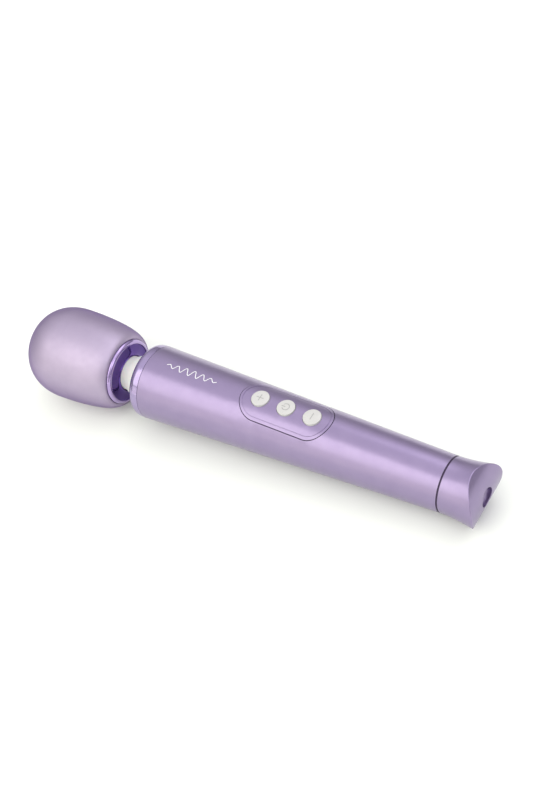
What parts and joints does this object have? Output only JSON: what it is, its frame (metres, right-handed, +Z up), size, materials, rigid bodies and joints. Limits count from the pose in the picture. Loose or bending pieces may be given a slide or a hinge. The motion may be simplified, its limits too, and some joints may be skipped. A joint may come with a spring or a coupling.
{
  "type": "handheld wand massager",
  "caption": "Cordless handheld wand massager with a soft round vibrating head on a flexible neck, a tapered handle with push buttons and a charging port in its flared end.",
  "frame": {"origin": "on the table under the middle of the wand as it lies, buttons up, resting on its head and its end cap", "axes": "+X runs from the head to the tail, +Z is up, and the wand's own axis leans 2.3 degrees down towards the tail"},
  "size_m": [0.2548, 0.047, 0.0471],
  "materials": {
    "lilac_silicone": "satin, soft",
    "lilac_metallic": "satin metallic paint",
    "lilac_chrome": "polished, tinted",
    "white_silicone": "smooth, satin",
    "white_plastic": "smooth, softly glossy",
    "dark_seal": "matte",
    "grey_shell": "moulded",
    "black_plastic": "moulded",
    "spring_steel": "bright",
    "motor_steel": "plated",
    "magnet_ferrite": "sintered",
    "bronze": "sintered",
    "weight_brass": "turned",
    "cell_wrap": "shrink-wrapped",
    "nickel": "strip",
    "board_green": "solder mask",
    "grey_foam": "foam",
    "lead_insulation": "smooth"
  },
  "bodies": {
    "handle": {"collar_ring": "lilac_chrome", "neck_clamp_ring": "grey_shell", "handle_tube": "lilac_metallic", "control_panel": "lilac_metallic", "button_membrane": "white_silicone", "plus_switch": "black_plastic", "power_switch": "black_plastic", "minus_switch": "black_plastic", "control_board": "board_green", "board_screws": "spring_steel", "motor_driver_chip": "black_plastic", "charger_chip": "black_plastic", "lead_connector": "white_plastic", "battery_cell": "cell_wrap", "battery_tabs": "nickel", "battery_pad": "grey_foam", "battery_leads": "lead_insulation", "chassis_upper": "grey_shell", "chassis_lower": "grey_shell", "chassis_screws": "spring_steel", "tail_gasket": "dark_seal", "tail_cap": "lilac_metallic", "port_bezel": "lilac_metallic", "charging_jack": "black_plastic", "jack_pin": "nickel", "charge_leads": "lead_insulation"},
    "neck": {"neck_boot": "white_silicone", "neck_spring": "spring_steel", "neck_leads": "lead_insulation"},
    "head": {"silicone_head_cover": "lilac_silicone", "head_shell_upper": "grey_shell", "head_shell_lower": "grey_shell", "head_base": "grey_shell", "head_screws": "spring_steel", "head_trim_ring": "lilac_chrome", "motor_sleeve": "dark_seal", "motor_can": "motor_steel", "motor_end_cap": "black_plastic", "front_bearing": "bronze", "rear_bearing": "bronze", "motor_magnets": "magnet_ferrite"},
    "rotor": {"motor_shaft": "motor_steel", "motor_armature": "magnet_ferrite", "eccentric_weight": "weight_brass"},
    "plus_button": {"plus_button": "white_plastic"},
    "power_button": {"power_button": "white_plastic"},
    "minus_button": {"minus_button": "white_plastic"}
  },
  "joints": [
    {"name": "neck_pitch", "type": "hinge", "parent": "handle", "child": "neck", "pos_m": [-0.06225, 0, 0.02183], "axis": [0, 1, 0], "range_deg": [-20, 20], "stiffness_Nm_per_rad": 3, "deforming": ["neck_boot", "neck_spring", "neck_leads"]},
    {"name": "neck_yaw", "type": "hinge", "parent": "neck", "child": "head", "pos_m": [-0.06225, 0, 0.02183], "axis": [0.0403, 0, 0.9992], "range_deg": [-20, 20], "stiffness_Nm_per_rad": 3, "deforming": ["neck_boot", "neck_spring", "neck_leads"]},
    {"name": "rotor_spin", "type": "hinge", "parent": "head", "child": "rotor", "pos_m": [-0.10322, 0, 0.02348], "axis": [0.9992, 0, -0.0403], "continuous": true},
    {"name": "plus_press", "type": "slide", "parent": "handle", "child": "plus_button", "axis": [-0.0403, 0, -0.9992], "range_m": [0, 0.0005], "stiffness_N_per_m": 800, "springref_m": -0.0005},
    {"name": "power_press", "type": "slide", "parent": "handle", "child": "power_button", "axis": [-0.0403, 0, -0.9992], "range_m": [0, 0.0005], "stiffness_N_per_m": 800, "springref_m": -0.0005},
    {"name": "minus_press", "type": "slide", "parent": "handle", "child": "minus_button", "axis": [-0.0403, 0, -0.9992], "range_m": [0, 0.0005], "stiffness_N_per_m": 800, "springref_m": -0.0005}
  ]
}
